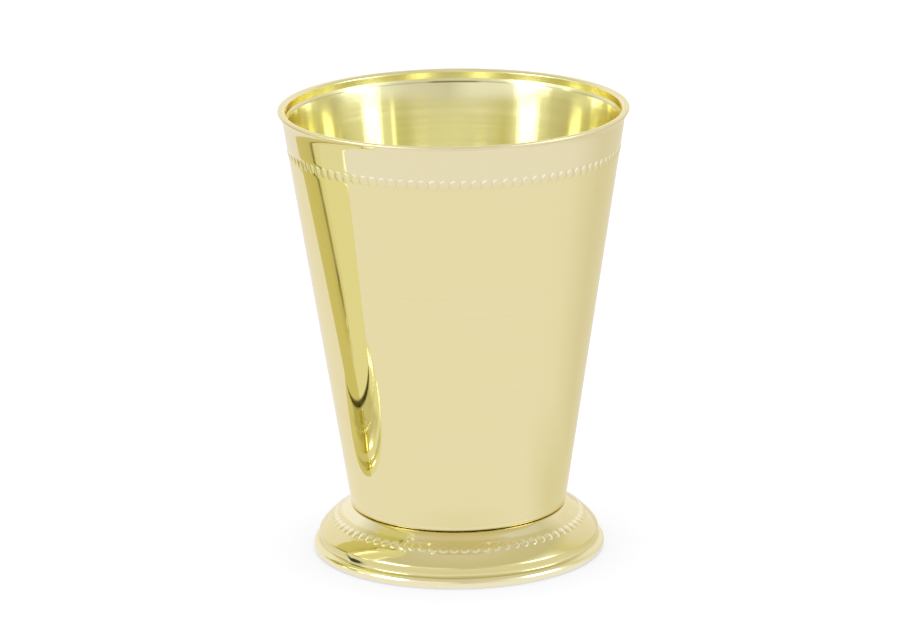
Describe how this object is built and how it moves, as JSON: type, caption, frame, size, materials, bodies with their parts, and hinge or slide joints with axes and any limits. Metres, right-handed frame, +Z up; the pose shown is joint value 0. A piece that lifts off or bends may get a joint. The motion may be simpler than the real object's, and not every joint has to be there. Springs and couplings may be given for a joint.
{
  "type": "julep cup",
  "caption": "Footed julep cup: tapering spun metal beaker with a flared lip, beaded bands and a stepped ring foot, for serving iced drinks.",
  "frame": {"origin": "centre of the flat plane that the foot stands on", "axes": "+Z up along the cup's axis of revolution, towards the lip; +X and +Y are arbitrary because the cup is round"},
  "size_m": [0.0828, 0.0828, 0.108],
  "materials": {
    "cup_metal": "polished pale gold, fine spinning marks",
    "foot_metal": "polished pale gold, struck beading",
    "solder": "dull cast soft solder"
  },
  "bodies": {
    "root": {"cup_body": "cup_metal", "foot": "foot_metal", "solder_ring": "solder"}
  },
  "joints": []
}
